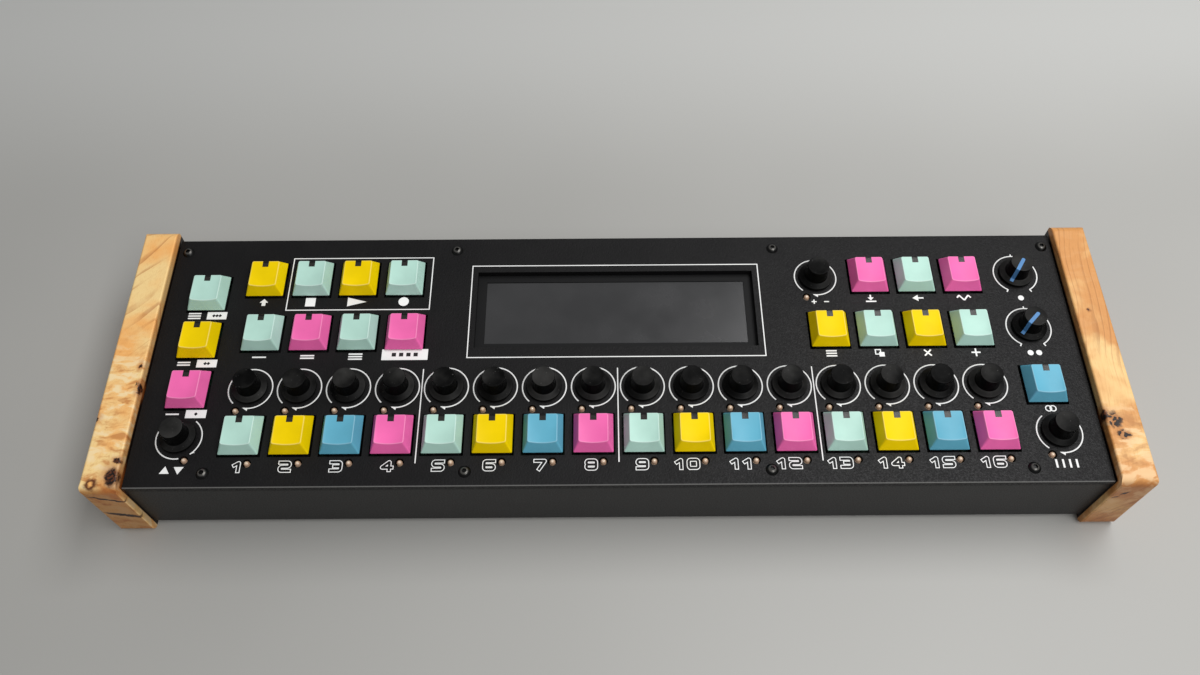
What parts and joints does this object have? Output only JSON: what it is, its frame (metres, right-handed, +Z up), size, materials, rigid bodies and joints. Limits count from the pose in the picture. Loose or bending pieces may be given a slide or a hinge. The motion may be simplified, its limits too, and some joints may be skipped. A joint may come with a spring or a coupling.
{
  "type": "music_sequencer",
  "caption": "Desktop music sequencer with coloured sprung keys, black knobs, small lamps and a recessed display in a flat metal case between burl wood cheeks",
  "frame": {"origin": "On the table, under the middle of the case between the cheeks", "axes": "X along the rows of steps, to the right; Y from the player to the back; Z up from the table"},
  "size_m": [0.4664, 0.1388, 0.0553],
  "materials": {
    "panel_black": "satin",
    "case_black": "satin",
    "burl_wood": "satin",
    "board_green": "matte",
    "display_frame": "matte",
    "display_glass": "gloss",
    "switch_black": "matte",
    "encoder_metal": "satin",
    "lamp_lens": "gloss",
    "pillar_steel": "satin",
    "screw_black": "satin",
    "screw_steel": "satin",
    "socket_black": "matte",
    "shaft_steel": "satin",
    "knob_black": "matte",
    "key_mint": "satin",
    "key_yellow": "satin",
    "key_pink": "satin",
    "key_blue": "satin"
  },
  "bodies": {
    "case": {"top_panel": "panel_black", "base_tray": "case_black", "left_cheek": "burl_wood", "right_cheek": "burl_wood", "control_board": "board_green", "socket_board": "board_green", "display_module": "display_frame", "display_glass": "display_glass", "key_switches": "switch_black", "encoder_bodies": "encoder_metal", "indicator_lamps": "lamp_lens", "board_pillars": "pillar_steel", "panel_screws": "screw_black", "cheek_screws": "screw_steel", "rear_sockets": "socket_black"},
    "step_keys_mint": {"step_keys_mint": "key_mint"},
    "step_keys_yellow": {"step_keys_yellow": "key_yellow"},
    "step_keys_blue": {"step_keys_blue": "key_blue"},
    "step_keys_pink": {"step_keys_pink": "key_pink"},
    "side_key_1": {"side_key_1": "key_pink"},
    "side_key_2": {"side_key_2": "key_yellow"},
    "side_key_3": {"side_key_3": "key_mint"},
    "shift_key": {"shift_key": "key_yellow"},
    "stop_key": {"stop_key": "key_mint"},
    "play_key": {"play_key": "key_yellow"},
    "record_key": {"record_key": "key_mint"},
    "mode_key_1": {"mode_key_1": "key_mint"},
    "mode_key_2": {"mode_key_2": "key_pink"},
    "mode_key_3": {"mode_key_3": "key_mint"},
    "mode_key_4": {"mode_key_4": "key_pink"},
    "edit_key_1": {"edit_key_1": "key_yellow"},
    "edit_key_2": {"edit_key_2": "key_mint"},
    "edit_key_3": {"edit_key_3": "key_yellow"},
    "edit_key_4": {"edit_key_4": "key_mint"},
    "store_key_1": {"store_key_1": "key_pink"},
    "store_key_2": {"store_key_2": "key_mint"},
    "store_key_3": {"store_key_3": "key_pink"},
    "link_key": {"link_key": "key_blue"},
    "step_knob_1": {"step_knob_1": "knob_black"},
    "step_knob_2": {"step_knob_2": "knob_black"},
    "step_knob_3": {"step_knob_3": "knob_black"},
    "step_knob_4": {"step_knob_4": "knob_black"},
    "step_knob_5": {"step_knob_5": "knob_black"},
    "step_knob_6": {"step_knob_6": "knob_black"},
    "step_knob_7": {"step_knob_7": "knob_black"},
    "step_knob_8": {"step_knob_8": "knob_black"},
    "step_knob_9": {"step_knob_9": "knob_black"},
    "step_knob_10": {"step_knob_10": "knob_black"},
    "step_knob_11": {"step_knob_11": "knob_black"},
    "step_knob_12": {"step_knob_12": "knob_black"},
    "step_knob_13": {"step_knob_13": "knob_black"},
    "step_knob_14": {"step_knob_14": "knob_black"},
    "step_knob_15": {"step_knob_15": "knob_black"},
    "step_knob_16": {"step_knob_16": "knob_black"},
    "left_knob": {"left_knob": "knob_black"},
    "right_knob": {"right_knob": "knob_black"},
    "pot_knob_a": {"pot_knob_a": "knob_black"},
    "pot_knob_b": {"pot_knob_b": "knob_black"},
    "value_shaft": {"value_shaft": "shaft_steel"},
    "value_knob": {"value_knob": "knob_black"}
  },
  "joints": [
    {"name": "step_keys_mint_slide", "type": "slide", "parent": "case", "child": "step_keys_mint", "axis": [0, 0, -1], "range_m": [0, 0.003], "stiffness_N_per_m": 400},
    {"name": "step_keys_yellow_slide", "type": "slide", "parent": "case", "child": "step_keys_yellow", "axis": [0, 0, -1], "range_m": [0, 0.003], "stiffness_N_per_m": 400},
    {"name": "step_keys_blue_slide", "type": "slide", "parent": "case", "child": "step_keys_blue", "axis": [0, 0, -1], "range_m": [0, 0.003], "stiffness_N_per_m": 400},
    {"name": "step_keys_pink_slide", "type": "slide", "parent": "case", "child": "step_keys_pink", "axis": [0, 0, -1], "range_m": [0, 0.003], "stiffness_N_per_m": 400},
    {"name": "side_key_1_slide", "type": "slide", "parent": "case", "child": "side_key_1", "axis": [0, 0, -1], "range_m": [0, 0.003], "stiffness_N_per_m": 150},
    {"name": "side_key_2_slide", "type": "slide", "parent": "case", "child": "side_key_2", "axis": [0, 0, -1], "range_m": [0, 0.003], "stiffness_N_per_m": 150},
    {"name": "side_key_3_slide", "type": "slide", "parent": "case", "child": "side_key_3", "axis": [0, 0, -1], "range_m": [0, 0.003], "stiffness_N_per_m": 150},
    {"name": "shift_key_slide", "type": "slide", "parent": "case", "child": "shift_key", "axis": [0, 0, -1], "range_m": [0, 0.003], "stiffness_N_per_m": 150},
    {"name": "stop_key_slide", "type": "slide", "parent": "case", "child": "stop_key", "axis": [0, 0, -1], "range_m": [0, 0.003], "stiffness_N_per_m": 150},
    {"name": "play_key_slide", "type": "slide", "parent": "case", "child": "play_key", "axis": [0, 0, -1], "range_m": [0, 0.003], "stiffness_N_per_m": 150},
    {"name": "record_key_slide", "type": "slide", "parent": "case", "child": "record_key", "axis": [0, 0, -1], "range_m": [0, 0.003], "stiffness_N_per_m": 150},
    {"name": "mode_key_1_slide", "type": "slide", "parent": "case", "child": "mode_key_1", "axis": [0, 0, -1], "range_m": [0, 0.003], "stiffness_N_per_m": 150},
    {"name": "mode_key_2_slide", "type": "slide", "parent": "case", "child": "mode_key_2", "axis": [0, 0, -1], "range_m": [0, 0.003], "stiffness_N_per_m": 150},
    {"name": "mode_key_3_slide", "type": "slide", "parent": "case", "child": "mode_key_3", "axis": [0, 0, -1], "range_m": [0, 0.003], "stiffness_N_per_m": 150},
    {"name": "mode_key_4_slide", "type": "slide", "parent": "case", "child": "mode_key_4", "axis": [0, 0, -1], "range_m": [0, 0.003], "stiffness_N_per_m": 150},
    {"name": "edit_key_1_slide", "type": "slide", "parent": "case", "child": "edit_key_1", "axis": [0, 0, -1], "range_m": [0, 0.003], "stiffness_N_per_m": 150},
    {"name": "edit_key_2_slide", "type": "slide", "parent": "case", "child": "edit_key_2", "axis": [0, 0, -1], "range_m": [0, 0.003], "stiffness_N_per_m": 150},
    {"name": "edit_key_3_slide", "type": "slide", "parent": "case", "child": "edit_key_3", "axis": [0, 0, -1], "range_m": [0, 0.003], "stiffness_N_per_m": 150},
    {"name": "edit_key_4_slide", "type": "slide", "parent": "case", "child": "edit_key_4", "axis": [0, 0, -1], "range_m": [0, 0.003], "stiffness_N_per_m": 150},
    {"name": "store_key_1_slide", "type": "slide", "parent": "case", "child": "store_key_1", "axis": [0, 0, -1], "range_m": [0, 0.003], "stiffness_N_per_m": 150},
    {"name": "store_key_2_slide", "type": "slide", "parent": "case", "child": "store_key_2", "axis": [0, 0, -1], "range_m": [0, 0.003], "stiffness_N_per_m": 150},
    {"name": "store_key_3_slide", "type": "slide", "parent": "case", "child": "store_key_3", "axis": [0, 0, -1], "range_m": [0, 0.003], "stiffness_N_per_m": 150},
    {"name": "link_key_slide", "type": "slide", "parent": "case", "child": "link_key", "axis": [0, 0, -1], "range_m": [0, 0.003], "stiffness_N_per_m": 150},
    {"name": "step_knob_1_turn", "type": "hinge", "parent": "case", "child": "step_knob_1", "pos_m": [-0.16835, -0.0177, 0.0458], "axis": [0, 0, 1], "continuous": true},
    {"name": "step_knob_2_turn", "type": "hinge", "parent": "case", "child": "step_knob_2", "pos_m": [-0.14585, -0.0177, 0.0458], "axis": [0, 0, 1], "continuous": true},
    {"name": "step_knob_3_turn", "type": "hinge", "parent": "case", "child": "step_knob_3", "pos_m": [-0.12335, -0.0177, 0.0458], "axis": [0, 0, 1], "continuous": true},
    {"name": "step_knob_4_turn", "type": "hinge", "parent": "case", "child": "step_knob_4", "pos_m": [-0.10085, -0.0177, 0.0458], "axis": [0, 0, 1], "continuous": true},
    {"name": "step_knob_5_turn", "type": "hinge", "parent": "case", "child": "step_knob_5", "pos_m": [-0.07835, -0.0177, 0.0458], "axis": [0, 0, 1], "continuous": true},
    {"name": "step_knob_6_turn", "type": "hinge", "parent": "case", "child": "step_knob_6", "pos_m": [-0.05585, -0.0177, 0.0458], "axis": [0, 0, 1], "continuous": true},
    {"name": "step_knob_7_turn", "type": "hinge", "parent": "case", "child": "step_knob_7", "pos_m": [-0.03335, -0.0177, 0.0458], "axis": [0, 0, 1], "continuous": true},
    {"name": "step_knob_8_turn", "type": "hinge", "parent": "case", "child": "step_knob_8", "pos_m": [-0.01085, -0.0177, 0.0458], "axis": [0, 0, 1], "continuous": true},
    {"name": "step_knob_9_turn", "type": "hinge", "parent": "case", "child": "step_knob_9", "pos_m": [0.01165, -0.0177, 0.0458], "axis": [0, 0, 1], "continuous": true},
    {"name": "step_knob_10_turn", "type": "hinge", "parent": "case", "child": "step_knob_10", "pos_m": [0.03415, -0.0177, 0.0458], "axis": [0, 0, 1], "continuous": true},
    {"name": "step_knob_11_turn", "type": "hinge", "parent": "case", "child": "step_knob_11", "pos_m": [0.05665, -0.0177, 0.0458], "axis": [0, 0, 1], "continuous": true},
    {"name": "step_knob_12_turn", "type": "hinge", "parent": "case", "child": "step_knob_12", "pos_m": [0.07915, -0.0177, 0.0458], "axis": [0, 0, 1], "continuous": true},
    {"name": "step_knob_13_turn", "type": "hinge", "parent": "case", "child": "step_knob_13", "pos_m": [0.10165, -0.0177, 0.0458], "axis": [0, 0, 1], "continuous": true},
    {"name": "step_knob_14_turn", "type": "hinge", "parent": "case", "child": "step_knob_14", "pos_m": [0.12415, -0.0177, 0.0458], "axis": [0, 0, 1], "continuous": true},
    {"name": "step_knob_15_turn", "type": "hinge", "parent": "case", "child": "step_knob_15", "pos_m": [0.14665, -0.0177, 0.0458], "axis": [0, 0, 1], "continuous": true},
    {"name": "step_knob_16_turn", "type": "hinge", "parent": "case", "child": "step_knob_16", "pos_m": [0.16915, -0.0177, 0.0458], "axis": [0, 0, 1], "continuous": true},
    {"name": "left_knob_turn", "type": "hinge", "parent": "case", "child": "left_knob", "pos_m": [-0.1965, -0.042, 0.0458], "axis": [0, 0, 1], "continuous": true},
    {"name": "right_knob_turn", "type": "hinge", "parent": "case", "child": "right_knob", "pos_m": [0.1974, -0.042, 0.0458], "axis": [0, 0, 1], "continuous": true},
    {"name": "pot_knob_a_turn", "type": "hinge", "parent": "case", "child": "pot_knob_a", "pos_m": [0.1956, 0.0428, 0.0458], "axis": [0, 0, -1], "range_deg": [0, 300]},
    {"name": "pot_knob_b_turn", "type": "hinge", "parent": "case", "child": "pot_knob_b", "pos_m": [0.1956, 0.0124, 0.0458], "axis": [0, 0, -1], "range_deg": [0, 300]},
    {"name": "value_shaft_slide", "type": "slide", "parent": "case", "child": "value_shaft", "axis": [0, 0, -1], "range_m": [0, 0.0005], "stiffness_N_per_m": 800},
    {"name": "value_knob_turn", "type": "hinge", "parent": "value_shaft", "child": "value_knob", "pos_m": [0.09765, 0.0416, 0.0458], "axis": [0, 0, 1], "continuous": true}
  ]
}
